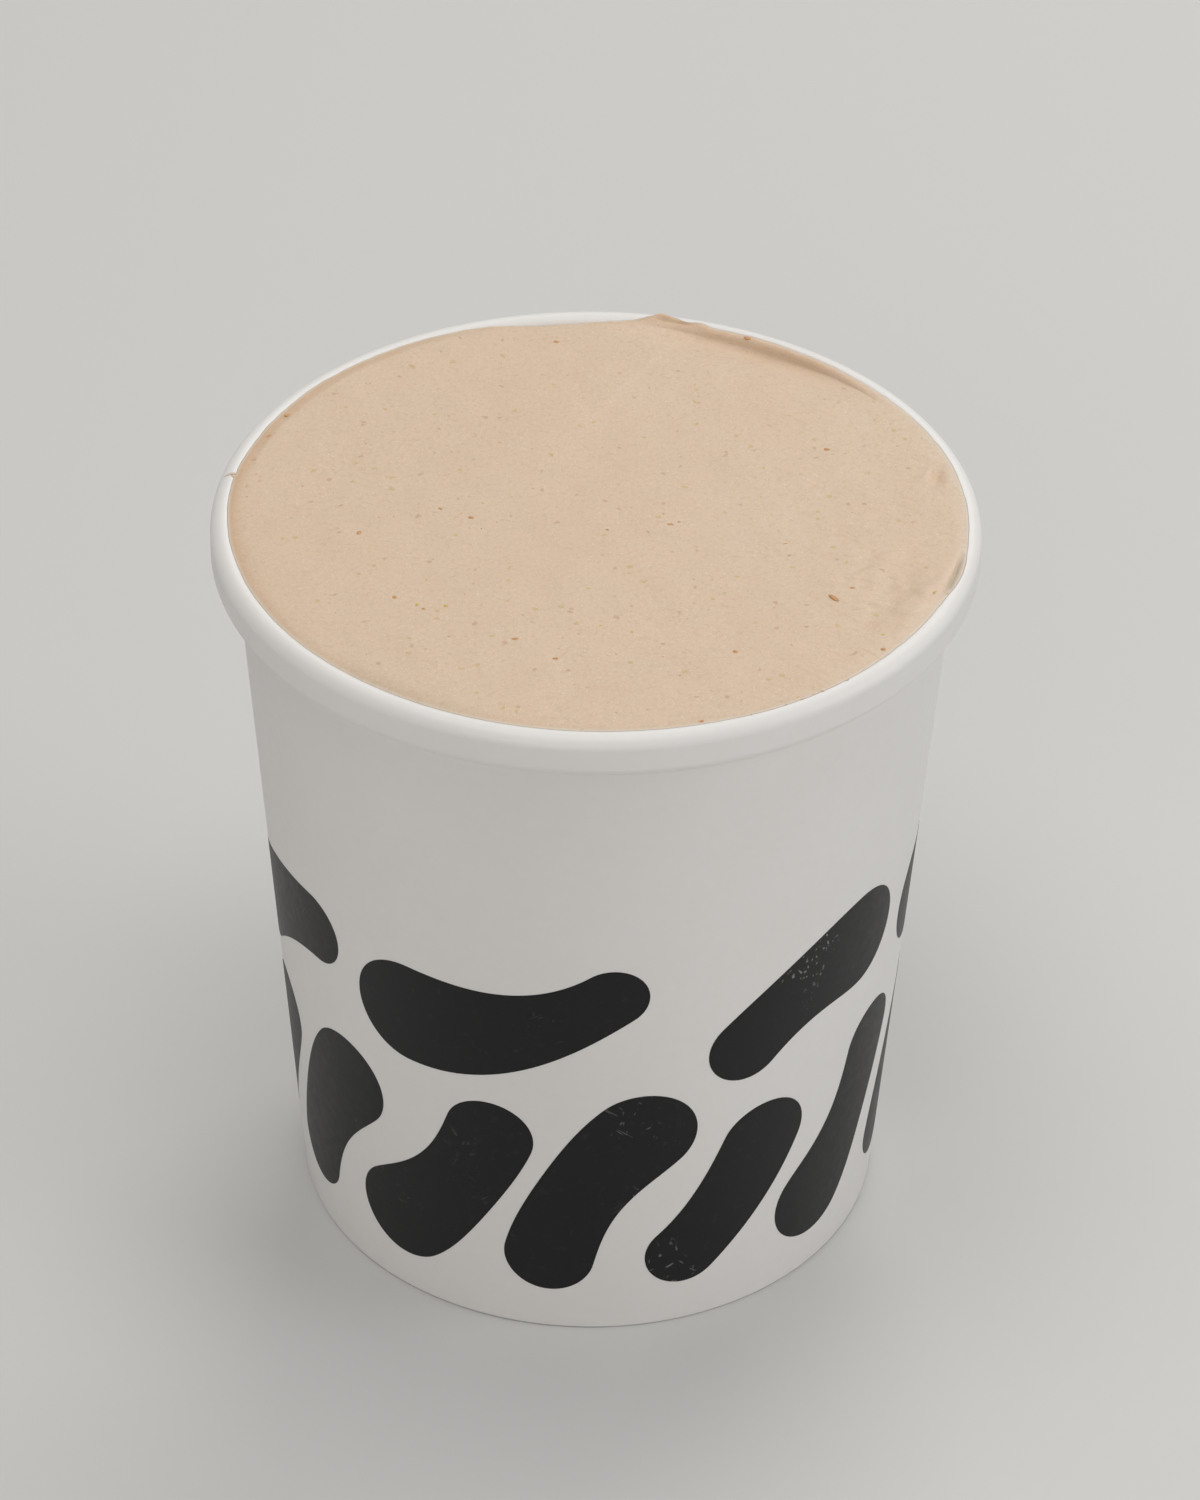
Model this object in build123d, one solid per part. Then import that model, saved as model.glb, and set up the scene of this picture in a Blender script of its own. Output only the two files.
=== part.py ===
from build123d import *
from math import acos, atan2, cos, degrees, exp, hypot, radians, sin, tan
import os

# An open paper pint of ice cream, filled to the brim. Millimetres, +Z up,
# the origin at the middle of the rest face, the camera side towards -Y.

# cup
rim_diameter = 96.5
cup_height = 102.4
base_diameter = 76.5
rim_width = 3.25
rim_height = 5.7
board = 0.5
tail_turn = 132.0
fit_gap = 0.08

# raised bottom disc and the hem that holds it
base_rise = 7.0
bend_radius = 0.45
hem_short = 1.2

# side seam at the back, where the two ends of the wall overlap
seam_width = 8.0
seam_azimuth = 90.0
seam_inset = 0.9

# ice cream: its edge lies short of the middle of the rolled rim
crown = 0.25
spread_short = 0.62
surface_step = 2.0

# back right, where the filling stops short and only a film coats the rim
shortfall = 1.5
short_middle = 57.0
short_reach = 21.0
short_slope = 8.5
short_foot = 1.2
film = 0.35
film_depth = 3.0

# lumps smeared on the rim: azimuth, distance inside the middle of the rolled
# rim, then half sizes along, across and up, and lift
smears = [
    (80.5, 0.12, 3.3, 1.25, 0.75, 0.25),
    (73.0, 0.22, 1.7, 0.9, 0.5, 0.25),
    (170.5, 0.42, 0.8, 1.0, 0.4, 0.1),
]
# hollow left between the filling and the rim: azimuth and half sizes
rim_gap = (-15.0, 4.6, 0.8, 1.5)

# broad rises and hollows of the levelled top: x, y, height, half widths, turn
patches = [
    (41.0, -17.0, 0.55, 5.5, 2.6, 80.0),
    (35.0, -20.5, -0.55, 4.2, 3.0, 70.0),
    (43.0, 10.5, -0.8, 2.6, 1.9, 80.0),
    (-45.5, 12.0, -0.5, 12.0, 2.0, 105.0),
    (27.0, 2.0, -0.18, 14.0, 7.0, -25.0),
    (-4.0, 20.0, 0.14, 20.0, 6.0, 60.0),
    (-22.0, -14.0, 0.12, 13.0, 11.0, 20.0),
]

# values that follow from those above; the inner face of the wall runs up
# tangent to the rolled rim, which sets the taper
rim_radius = rim_diameter / 2
base_radius = base_diameter / 2
neck_height = cup_height - rim_height
roll_radius = rim_width / 2
roll_centre = (rim_radius - roll_radius, cup_height - roll_radius)
tail_centre = (rim_radius - roll_radius, neck_height + roll_radius)
roll_offset = roll_centre[0] - base_radius
lean = acos((roll_radius - board) / hypot(roll_offset, roll_centre[1]))
lean -= atan2(roll_centre[1], roll_offset)
taper = tan(lean)
layer = board / cos(lean)
wall_end = 180 - degrees(lean)
brim_radius = roll_centre[0] - roll_radius
spread_radius = roll_centre[0] - spread_short


def wall_radius(height, inward=0.0):
    """Radius of a cone lying the given distance inside the outer face."""
    return base_radius + taper * height - inward


def around(centre, radius, angle):
    """Point on a circle of the section, the angle in degrees from outward."""
    turn = radians(angle)
    return (centre[0] + radius * cos(turn), centre[1] + radius * sin(turn))


def arc(centre, radius, start, end):
    """Arc of the section between two angles."""
    middle = around(centre, radius, (start + end) / 2)
    first = around(centre, radius, start)
    last = around(centre, radius, end)
    return ThreePointArc(first, middle, last)


def turned(edges, angle=360.0):
    """Solid of revolution of a closed outline drawn as radius and height."""
    section = Plane.XZ * make_face(edges)
    return revolve(section, Axis.Z, angle)


def polar(azimuth, radius, height=0.0):
    """Point at an azimuth and a radius round the cup."""
    turn = radians(azimuth)
    return (radius * cos(turn), radius * sin(turn), height)


def make_sidewall():
    """Tapered wall, rolled rim and the hem folded in under the cup."""
    inner_roll = roll_radius - board
    leg_outside = 2 * layer + 2 * fit_gap
    leg_inside = leg_outside + layer
    leg_top = base_rise - hem_short
    outline = [
        Line((wall_radius(0), 0), around(roll_centre, inner_roll, wall_end)),
        arc(roll_centre, inner_roll, wall_end, 0),
        Line(around(roll_centre, inner_roll, 0), around(tail_centre, inner_roll, 0)),
        arc(tail_centre, inner_roll, 0, -tail_turn),
        Line(
            around(tail_centre, inner_roll, -tail_turn),
            around(tail_centre, roll_radius, -tail_turn),
        ),
        arc(tail_centre, roll_radius, -tail_turn, 0),
        Line(around(tail_centre, roll_radius, 0), around(roll_centre, roll_radius, 0)),
        arc(roll_centre, roll_radius, 0, wall_end),
    ]
    corners = [
        around(roll_centre, roll_radius, wall_end),
        (wall_radius(board, layer), board),
        (wall_radius(board, leg_outside), board),
        (wall_radius(leg_top, leg_outside), leg_top),
        (wall_radius(leg_top, leg_inside), leg_top),
        (wall_radius(0, leg_inside), 0),
        (wall_radius(0), 0),
    ]
    outline += [Line(one, two) for one, two in zip(corners, corners[1:])]
    section = make_face(outline)
    folded = section.vertices().filter_by_position(Axis.Y, -0.01, 0.01)
    section = fillet(folded, bend_radius)
    return revolve(Plane.XZ * section, Axis.Z)


def make_seam():
    """Strip one board thick where the wall laps over itself."""
    low = seam_inset
    high = neck_height - seam_inset
    corners = [
        (wall_radius(low, layer / 2), low),
        (wall_radius(low, -layer), low),
        (wall_radius(high, -layer), high),
        (wall_radius(high, layer / 2), high),
    ]
    angle = degrees(seam_width / wall_radius(neck_height / 2))
    strip = turned(Polyline(*corners, close=True), angle)
    return Rot(Z=seam_azimuth - angle / 2) * strip


def make_base():
    """Flat disc with its edge turned down into the hem."""
    outside = layer + fit_gap
    inside = outside + layer
    foot = board + fit_gap
    top = base_rise + board
    corners = [
        (0, base_rise),
        (wall_radius(base_rise, inside), base_rise),
        (wall_radius(foot, inside), foot),
        (wall_radius(foot, outside), foot),
        (wall_radius(top, outside), top),
        (0, top),
    ]
    section = make_face(Polyline(*corners, close=True))
    outer = section.vertices().sort_by(Axis.X)
    bend = outer.filter_by_position(Axis.Y, top - 0.01, top + 0.01)[-1]
    section = fillet(bend, bend_radius + board)
    under = section.vertices().filter_by_position(
        Axis.Y, base_rise - 0.01, base_rise + 0.01
    )
    section = fillet(under.sort_by(Axis.X)[-1], bend_radius)
    return revolve(Plane.XZ * section, Axis.Z)


def patch(x, y, middle_x, middle_y, height, along, across, turn):
    """Smooth rise or hollow with an oval plan."""
    angle = radians(turn)
    ahead = (x - middle_x) * cos(angle) + (y - middle_y) * sin(angle)
    aside = (y - middle_y) * cos(angle) - (x - middle_x) * sin(angle)
    return height * exp(-((ahead / along) ** 2) - (aside / across) ** 2)


def ramp(value, low, high):
    """Smooth change from 0 to 1 between two values."""
    share = min(max((value - low) / (high - low), 0), 1)
    return share * share * (3 - 2 * share)


def missing(x, y):
    """How far the filling stops short of the brim at a point."""
    azimuth = degrees(atan2(y, x))
    window = exp(-(((azimuth - short_middle) / short_reach) ** 6))
    foot = brim_radius - short_foot
    return shortfall * window * ramp(hypot(x, y), foot - short_slope, foot)


def top_height(x, y):
    """Height of the levelled surface."""
    waves = 0.10 * sin(x / 11 + 0.6) * cos(y / 14 - 0.4)
    waves += 0.05 * sin(x / 5.5 - y / 7)
    bumps = sum(patch(x, y, *values) for values in patches)
    return cup_height + crown + waves + bumps - missing(x, y)


def space_above():
    """Everything above the surface, to be cut off the filling."""
    count = int(rim_diameter / 2 / surface_step) + 2
    steps = [surface_step * k for k in range(-count, count + 1)]
    rows = [[(x, y, top_height(x, y)) for x in steps] for y in steps]
    surface = Face.make_surface_from_array_of_points(rows, tol=0.01, min_deg=3)
    return extrude(surface, 12, dir=(0, 0, 1))


def blob(azimuth, radius, height, along, across, up):
    """Rounded lump with its long side following the rim."""
    shape = scale(Sphere(1), by=(across, along, up))
    return Pos(*polar(azimuth, radius, height)) * Rot(Z=azimuth) * shape


def make_film(touch, edge):
    """Thin coat left on the inside of the rim."""
    low = roll_centre[1] - film_depth
    inward = layer + fit_gap / cos(lean)
    inner = (wall_radius(low, inward + film / cos(lean)), low)
    outline = [
        Line(inner, (wall_radius(low, inward), low)),
        Line((wall_radius(low, inward), low), around(roll_centre, touch, wall_end)),
        arc(roll_centre, touch, wall_end, edge),
        Line(
            around(roll_centre, touch, edge), around(roll_centre, touch + film, edge)
        ),
        arc(roll_centre, touch + film, edge, wall_end),
        Line(around(roll_centre, touch + film, wall_end), inner),
    ]
    coat = turned(outline, 2 * short_reach + 6)
    return Rot(Z=short_middle - short_reach - 3) * coat


def make_ice_cream():
    """Filling up to the brim, feathered over the inner half of the rim."""
    touch = roll_radius + fit_gap
    inward = layer + fit_gap / cos(lean)
    floor = base_rise + board + fit_gap
    lid = cup_height + 4
    edge = degrees(acos((spread_radius - roll_centre[0]) / touch))
    side = around(roll_centre, touch, wall_end)
    lip = around(roll_centre, touch, edge)
    outline = [
        Line((0, floor), (wall_radius(floor, inward), floor)),
        Line((wall_radius(floor, inward), floor), side),
        arc(roll_centre, touch, wall_end, edge),
        Line(lip, (spread_radius, lid)),
        Line((spread_radius, lid), (0, lid)),
        Line((0, lid), (0, floor)),
    ]
    filling = turned(outline) - space_above()
    filling += make_film(touch, edge)
    azimuth, along, across, deep = rim_gap
    filling -= blob(azimuth, brim_radius, cup_height, along, across, deep)
    roll = turned(Edge.make_circle(touch).moved(Location((*roll_centre, 0))))
    for azimuth, inside, along, across, up, lift in smears:
        radius = roll_centre[0] - inside
        lump = blob(azimuth, radius, cup_height + lift, along, across, up)
        filling += lump - roll
    return filling


os.makedirs("parts", exist_ok=True)
export_step(make_sidewall() + make_seam(), "parts/cup_sidewall.step")
export_step(make_base(), "parts/cup_base.step")
export_step(make_ice_cream(), "parts/ice_cream.step")
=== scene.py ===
import math
import bmesh
import bpy
import numpy as np
from mathutils import Matrix, Vector


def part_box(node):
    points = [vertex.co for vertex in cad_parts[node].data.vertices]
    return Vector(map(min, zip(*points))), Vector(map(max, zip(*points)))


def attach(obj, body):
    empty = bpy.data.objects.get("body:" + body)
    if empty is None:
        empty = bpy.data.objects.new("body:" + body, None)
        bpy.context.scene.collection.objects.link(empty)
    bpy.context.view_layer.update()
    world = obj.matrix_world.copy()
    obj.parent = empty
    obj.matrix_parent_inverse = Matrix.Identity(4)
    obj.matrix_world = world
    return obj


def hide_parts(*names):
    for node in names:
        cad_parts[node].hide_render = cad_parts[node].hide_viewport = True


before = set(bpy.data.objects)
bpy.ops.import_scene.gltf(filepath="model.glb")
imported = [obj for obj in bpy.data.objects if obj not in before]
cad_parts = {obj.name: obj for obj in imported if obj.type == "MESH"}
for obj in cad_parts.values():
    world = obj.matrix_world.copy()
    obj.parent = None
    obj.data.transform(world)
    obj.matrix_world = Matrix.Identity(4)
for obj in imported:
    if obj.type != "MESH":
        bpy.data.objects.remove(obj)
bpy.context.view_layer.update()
mm = 0.001
fullTurn = 6.283
wallLow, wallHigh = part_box("cup_sidewall")
rimRadius = -wallLow.x / mm
cupHeight = wallHigh.z / mm
print("frame loaded, rim radius %.2f, height %.2f" % (rimRadius, cupHeight))


# node sums: a socket that can be added, multiplied and compared

class Wire:
    def __init__(self, tree, socket):
        self.tree = tree
        self.socket = socket

    def maths(self, operation, *rest):
        return self.tree.maths(operation, self, *rest)

    def clip(self, low=0.0, high=1.0):
        return self.maths("MAXIMUM", low).maths("MINIMUM", high)

    def ease(self, low, high):
        # smooth 0 to 1 while the value goes from low to high
        values = {"Value": self, "From Min": low, "From Max": high}
        return self.tree.add("ShaderNodeMapRange", values, interpolation_type="SMOOTHSTEP")

    def part(self, axis):
        return self.tree.add("ShaderNodeSeparateXYZ", {"Vector": self}, axis)


for sign, operation in (("add", "ADD"), ("sub", "SUBTRACT"), ("mul", "MULTIPLY"),
                        ("truediv", "DIVIDE")):
    setattr(Wire, "__%s__" % sign, lambda left, right, o=operation: left.maths(o, right))
    setattr(Wire, "__r%s__" % sign,
            lambda right, left, o=operation: right.tree.maths(o, left, right))


def findSocket(sockets, name):
    if isinstance(name, int):
        return sockets[name]
    named = [s for s in sockets if s.name == name and s.enabled]
    return (named or [s for s in sockets if s.identifier == name])[0]


class NodeTree:
    def __init__(self, tree):
        self.tree = tree

    def add(self, kind, values=None, output=0, **settings):
        node = self.tree.nodes.new(kind)
        for name, value in settings.items():
            setattr(node, name, value)
        for name, value in (values or {}).items():
            self.give(findSocket(node.inputs, name), value)
        return Wire(self, findSocket(node.outputs, output)) if node.outputs else None

    def give(self, socket, value):
        if isinstance(value, Wire):
            self.tree.links.new(value.socket, socket)
        elif isinstance(value, (list, tuple)) and socket.type == "RGBA":
            socket.default_value = (*value[:3], 1.0)
        else:
            socket.default_value = value

    def maths(self, operation, *terms):
        return self.add("ShaderNodeMath", dict(enumerate(terms)), operation=operation)

    def vector(self, operation, *terms):
        values = dict(enumerate(terms))
        if operation == "SCALE":
            values = {"Vector": terms[0], "Scale": terms[1]}
        output = "Value" if operation == "LENGTH" else "Vector"
        return self.add("ShaderNodeVectorMath", values, output, operation=operation)

    def combine(self, x, y, z):
        return self.add("ShaderNodeCombineXYZ", {"X": x, "Y": y, "Z": z})

    def mix(self, share, first, second):
        values = {"Factor_Float": share, "A_Color": first, "B_Color": second}
        return self.add("ShaderNodeMix", values, "Result_Color", data_type="RGBA")


# materials

def newMaterial(name):
    material = bpy.data.materials.new(name)
    material.use_nodes = True
    material.node_tree.nodes.clear()
    return material, NodeTree(material.node_tree)


def finishMaterial(tree, values):
    surface = tree.add("ShaderNodeBsdfPrincipled", values)
    tree.add("ShaderNodeOutputMaterial", {"Surface": surface})


def noise(tree, place, scale, detail=2.0, roughness=0.5, output=0):
    values = {"Vector": place, "Scale": scale, "Detail": detail, "Roughness": roughness}
    return tree.add("ShaderNodeTexNoise", values, output)


def stretchedNoise(tree, stretch, turn, *rest):
    return noise(tree, objectPlace(tree, stretch, turn), *rest)


def bump(tree, height, strength, distance, under=None):
    values = {"Height": height, "Strength": strength, "Distance": distance}
    if under:
        values["Normal"] = under
    return tree.add("ShaderNodeBump", values)


def objectPlace(tree, stretch=None, turn=(0, 0, 0)):
    place = tree.add("ShaderNodeTexCoord", {}, "Object")
    if stretch is None:
        return place
    turn = tuple(math.radians(angle) for angle in turn)
    return tree.add("ShaderNodeMapping", {"Vector": place, "Rotation": turn, "Scale": stretch},
                    vector_type="TEXTURE")


boardLook = {
    "white": (0.80, 0.785, 0.765),
    "shade": (0.745, 0.725, 0.70),
    "raw": (0.70, 0.655, 0.60),
    "roughness": 0.46,
    "coat": 0.12,
    "coatRoughness": 0.35,
    # noises, broad and fine: scale, detail, roughness
    "noises": [(38.0, 3.0, 0.5), (620.0, 4.0, 0.6)],
    # stretched noises: stretch, turn, then the same
    "fibre": ((1.0, 1.0, 0.35), (0, 0, 0), 1500.0, 3.0, 0.65),
    "scratch": ((1.0, 1.0, 6.0), (0, 35, 20), 900.0),
    "scuffStrength": 0.25,
    "reliefStrength": 0.55,
    "reliefDepth": 0.000024,
}


def makeBoardMaterial():
    look = boardLook
    material, tree = newMaterial("coatedBoard")
    broad, fine = (noise(tree, objectPlace(tree), *row) for row in look["noises"])
    fibre = stretchedNoise(tree, *look["fibre"])
    mottle = (broad - 0.5) * 0.9 + (fine - 0.5) * 0.5 + 0.35
    colour = tree.mix(mottle.clip(), look["white"], look["shade"])
    # faint scuffs where the cup was handled
    scratch = stretchedNoise(tree, *look["scratch"])
    scuff = scratch.ease(0.69, 0.75) * broad.ease(0.5, 0.7)
    colour = tree.mix(scuff * look["scuffStrength"], colour, look["raw"])
    relief = bump(tree, fibre * 0.6 + fine * 0.8, look["reliefStrength"], look["reliefDepth"])
    finishMaterial(tree, {
        "Base Color": colour,
        "Roughness": look["roughness"] + (fine - 0.5) * 0.16 + scuff * 0.2,
        "Coat Weight": look["coat"], "Coat Roughness": look["coatRoughness"],
        "Specular IOR Level": 0.45, "Normal": relief})
    return material


inkLook = {
    "black": (0.0075, 0.0075, 0.0080),
    "worn": (0.030, 0.030, 0.032),
    "scuffed": (0.36, 0.35, 0.345),
    "roughness": 0.42,
    # noises, grain and wear: scale, detail, roughness
    "noises": [(800.0, 3.0, 0.6), (75.0, 2.0, 0.5)],
    "grainDepth": 0.00001,
    # fine scratches: noise, stretch, and the turns about x, y and z of each set
    "scratch": (240.0, 2.0, 0.4),
    "scratchStretch": (0.14, 0.14, 2.4),
    "scratchTurns": [(0, 62, 0), (0, -48, 0), (25, 15, 0)],
    # from where to where the wear grows towards the right
    "wearGrows": (-0.01, 0.035),
}


def makeInkMaterial():
    look = inkLook
    material, tree = newMaterial("blackInk")
    place = objectPlace(tree)
    grain, broad = (noise(tree, place, *row) for row in look["noises"])
    colour = tree.mix((grain.ease(0.55, 0.78) * 0.4).clip(), look["black"], look["worn"])
    # short pale scratches, only in worn places and more of them to the right
    marks = 0.0
    for turn in look["scratchTurns"]:
        line = stretchedNoise(tree, look["scratchStretch"], turn, *look["scratch"])
        marks = line.ease(0.665, 0.72) + marks
    rightward = place.part(0).ease(*look["wearGrows"])
    worn = broad.ease(0.55, 0.68) * (0.25 + rightward * 0.75)
    scuff = (marks * worn).clip() * 0.6
    colour = tree.mix(scuff, colour, look["scuffed"])
    finishMaterial(tree, {
        "Base Color": colour,
        "Roughness": look["roughness"] + (grain - 0.5) * 0.18 + scuff * 0.3,
        "Specular IOR Level": 0.25,
        "Normal": bump(tree, grain, 0.4, look["grainDepth"])})
    return material


creamLook = {
    "pale": (0.672, 0.516, 0.374),
    "peach": (0.680, 0.503, 0.358),
    "deep": (0.585, 0.427, 0.291),
    # painted highlight colour on the rises
    "highlightRosy": (0.735, 0.550, 0.422),
    # tan of the thin edge, also used as painted shade where the filling is sunken or short
    "tan": (0.620, 0.385, 0.225),
    "amber": (0.56, 0.42, 0.19),
    "rust": (0.50, 0.30, 0.18),
    "moss": (0.53, 0.46, 0.28),
    # painted shade in the narrow creases
    "creaseShade": (0.34, 0.305, 0.205),
    "film": (0.77, 0.68, 0.58),
    "ice": (0.79, 0.655, 0.52),
    "roughness": 0.52,
    # noises, broad, cloud, grain and ice: scale, detail, roughness
    "noises": [(34.0, 3.0, 0.55), (150.0, 3.0, 0.6), (1500.0, 3.0, 0.65), (4200.0, 2.0, 0.6)],
    "grainDepth": 0.00004,
    "iceDepth": 0.00002,
    # crumbs under the surface: colour, noise scale, reach, share
    "crumbs": [
        ("amber", 600.0, 0.26, 0.75), ("rust", 520.0, 0.22, 0.6), ("moss", 560.0, 0.24, 0.35)],
    "crumbBend": 0.0011,
    "crumbsLeftOut": 0.82,
    # drag marks, painted darker as the shade in their grooves: stretch, turn and noise scale,
    # strength, and from where to where they grow
    "drag": ((7.0, 0.45, 1.0), (0, 0, -40), 900.0),
    "dragShadeStrength": 0.38,
    "dragGrows": (0.014, 0.030),
}


def makeCreamMaterial():
    look = creamLook
    material, tree = newMaterial("frozenCream")
    place = objectPlace(tree)
    broad, cloud, grain, icy = (noise(tree, place, *row) for row in look["noises"])
    colour = tree.mix((broad.ease(0.38, 0.70) * 0.6).clip(), look["pale"], look["peach"])
    for share, tint in ((cloud.ease(0.48, 0.8) * 0.22, "deep"),
                        (grain.ease(0.46, 0.72) * 0.55, "deep"),
                        (icy.ease(0.54, 0.72) * 0.65, "ice")):
        colour = tree.mix(share.clip(), colour, look[tint])
    # crumbs of zest and spice under the surface, far smaller than the flecks that stand out
    wobble = noise(tree, place, 1100.0, 1.0, 0.5, "Color")
    bent = tree.vector("ADD", place, tree.vector("SCALE", wobble, look["crumbBend"]))
    for tint, scale, reach, share in look["crumbs"]:
        shifted = tree.vector("ADD", bent, (scale * 0.013, scale * 0.007, 0.0))
        values = {"Vector": shifted, "Scale": scale, "Randomness": 1.0}
        crumbs, pick = (tree.add("ShaderNodeTexVoronoi", values, output)
                        for output in ("Distance", "Color"))
        chosen = pick.part(0).maths("GREATER_THAN", look["crumbsLeftOut"])
        speck = (1.0 - crumbs.ease(reach * 0.5, reach)) * chosen
        colour = tree.mix(speck * share, colour, look[tint])
    # what makeIceCream stores at each point: tan where thin plus painted shade where sunken or
    # short, painted highlights on rises, painted shade in creases, a film on the rim
    tanAndShade, paintedHighlight, creaseShade, film = (
        tree.add("ShaderNodeAttribute", {}, "Fac", attribute_name=name)
        for name in ("tanAndShade", "paintedHighlight", "creaseShade", "film"))
    for share, tint in (((tanAndShade * (0.75 + (cloud - 0.5) * 1.2)).clip(), "tan"),
                        (paintedHighlight * (0.4 + cloud * 0.6), "highlightRosy"), (creaseShade.clip(), "creaseShade"),
                        (film * (0.35 + cloud * 0.5), "film")):
        colour = tree.mix(share, colour, look[tint])
    # drag marks of the spatula, only towards the right, painted darker as the shade in their
    # grooves
    drag = stretchedNoise(tree, *look["drag"])
    sideways = place.part(0).ease(*look["dragGrows"])
    marks = drag.ease(0.60, 0.68) * sideways * broad.ease(0.44, 0.56) * look["dragShadeStrength"]
    colour = tree.mix(marks, colour, look["deep"])
    relief = grain * 1.0 + cloud * 0.8 + (drag - 0.5) * sideways * 0.7
    coarse = bump(tree, relief, 0.6, look["grainDepth"])
    wet = cloud.ease(0.58, 0.8) + tanAndShade * 0.8
    finishMaterial(tree, {
        "Base Color": colour,
        "Roughness": look["roughness"] + (grain - 0.5) * 0.22 - wet * 0.10,
        "Subsurface Weight": 0.15, "Subsurface Radius": (1.0, 0.62, 0.4),
        "Subsurface Scale": 0.0012, "Specular IOR Level": 0.42,
        "Normal": bump(tree, icy, 0.5, look["iceDepth"], coarse)})
    return material


board = makeBoardMaterial()
ink = makeInkMaterial()
cream = makeCreamMaterial()
print("materials made")


# geometry node trees and what turns them into plain meshes

def newGeometryTree(name, sizes):
    group = bpy.data.node_groups.new(name, "GeometryNodeTree")
    face = group.interface
    face.new_socket("Geometry", in_out="INPUT", socket_type="NodeSocketGeometry")
    for label, kind in sizes:
        face.new_socket(label, in_out="INPUT", socket_type="NodeSocket" + kind)
    face.new_socket("Geometry", in_out="OUTPUT", socket_type="NodeSocketGeometry")
    tree = NodeTree(group)
    entry = group.nodes.new("NodeGroupInput")
    inputs = {s.name: Wire(tree, s) for s in entry.outputs if s.name}
    return group, tree, inputs


def position(tree):
    return tree.add("GeometryNodeInputPosition")


def realize(tree, geometry):
    return tree.add("GeometryNodeRealizeInstances", {"Geometry": geometry})


def moved(tree, geometry, place, kind="Position"):
    return tree.add("GeometryNodeSetPosition", {"Geometry": geometry, kind: place})


def storeNodes(tree, geometry, name, value, kind="FLOAT"):
    values = {"Geometry": geometry, "Name": name, "Value": value}
    return tree.add("GeometryNodeStoreNamedAttribute", values, data_type=kind, domain="POINT")


def storedValue(tree, name, kind="FLOAT"):
    return tree.add("GeometryNodeInputNamedAttribute", {"Name": name}, "Attribute",
                    data_type=kind)


def unitSheet(tree, across, along):
    return tree.add("GeometryNodeMeshGrid", {
        "Size X": 1.0, "Size Y": 1.0, "Vertices X": across, "Vertices Y": along}, "Mesh")


def endTree(tree, geometry, material):
    dressed = tree.add("GeometryNodeSetMaterial",
                       {"Geometry": realize(tree, geometry), "Material": material})
    tree.add("NodeGroupOutput", {"Geometry": dressed})


def newObject(name, data):
    made = bpy.data.objects.new(name, data)
    bpy.context.scene.collection.objects.link(made)
    return made


def meshObject(name, points, faces=()):
    mesh = bpy.data.meshes.new(name)
    mesh.from_pydata([tuple(p) for p in points], [], [tuple(f) for f in faces])
    return newObject(name, mesh)


def storeValues(piece, columns):
    for name, values in columns.items():
        layer = piece.data.attributes.new(name, "FLOAT", "POINT")
        layer.data.foreach_set("value", np.array(values, np.float32))


def runTree(name, host, group, inputs):
    modifier = host.modifiers.new("shape", "NODES")
    modifier.node_group = group
    for item in group.interface.items_tree:
        if item.item_type == "SOCKET" and item.in_out == "INPUT" and item.name in inputs:
            modifier[item.identifier] = inputs[item.name]
    bpy.context.view_layer.update()
    seen = host.evaluated_get(bpy.context.evaluated_depsgraph_get())
    mesh = bpy.data.meshes.new_from_object(seen)
    mesh.name = name
    host.modifiers.remove(modifier)
    bpy.data.objects.remove(host)
    return newObject(name, mesh)


def tidyMesh(piece, join=1e-6, sharp=None):
    work = bmesh.new()
    work.from_mesh(piece.data)
    bmesh.ops.remove_doubles(work, verts=work.verts, dist=join)
    rims = [e for e in work.edges if e.is_boundary]
    if rims:
        bmesh.ops.holes_fill(work, edges=rims)
    bmesh.ops.recalc_face_normals(work, faces=work.faces)
    openEdges = sum(not e.is_manifold for e in work.edges)
    work.to_mesh(piece.data)
    work.free()
    piece.data.shade_smooth()
    if sharp:
        piece.data.set_sharp_from_angle(angle=math.radians(sharp))
    print("  %s: %d faces, %d open edges" % (piece.name, len(piece.data.polygons), openEdges))
    return piece


# cup wall: one section turned about the axis, with the lapped seam at the back

cupWall = {
    # millimetres and degrees
    "baseRadius": 38.25,
    "rimWidth": 3.25,
    "rimHeight": 5.7,
    "board": 0.5,
    "tailTurn": 132.0,  # how far the rim's inner end curls on
    "fitGap": 0.08,
    "baseRise": 7.0,
    "hemShort": 1.2,  # how far below the base the folded hem ends
    "bend": 0.45,
    # points round the bends, the roll and the tail inside, and the tail and the roll outside
    "arcSteps": (7, 28, 24, 32, 44),
    # points up the wall inside the fold, down the rim and down the wall
    "lineSteps": (40, 3, 30),
    "seamWidth": 8.0,
    "seamInset": 0.9,
    "seamAzimuth": 90.0,
    "segments": 320,
    "seamSegments": 12,
    # degrees beyond which an edge stays sharp
    "sharp": 35,
}
rollRadius = cupWall["rimWidth"] / 2
rollCentre = (rimRadius - rollRadius, cupHeight - rollRadius)
tailCentre = (rollCentre[0], cupHeight - cupWall["rimHeight"] + rollRadius)
rollOffset = rollCentre[0] - cupWall["baseRadius"]
lean = math.acos((rollRadius - cupWall["board"]) / math.hypot(rollOffset, rollCentre[1]))
lean -= math.atan2(rollCentre[1], rollOffset)
taper = math.tan(lean)
layer = cupWall["board"] / math.cos(lean)
wallEnd = 180 - math.degrees(lean)
brimRadius = rollCentre[0] - rollRadius


def wallRadius(height, inward=0.0):
    return cupWall["baseRadius"] + taper * height - inward


def arcPoints(centre, radius, start, end, steps):
    turns = np.radians(np.linspace(start, end, steps))
    return [(centre[0] + radius * math.cos(t), centre[1] + radius * math.sin(t)) for t in turns]


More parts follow.
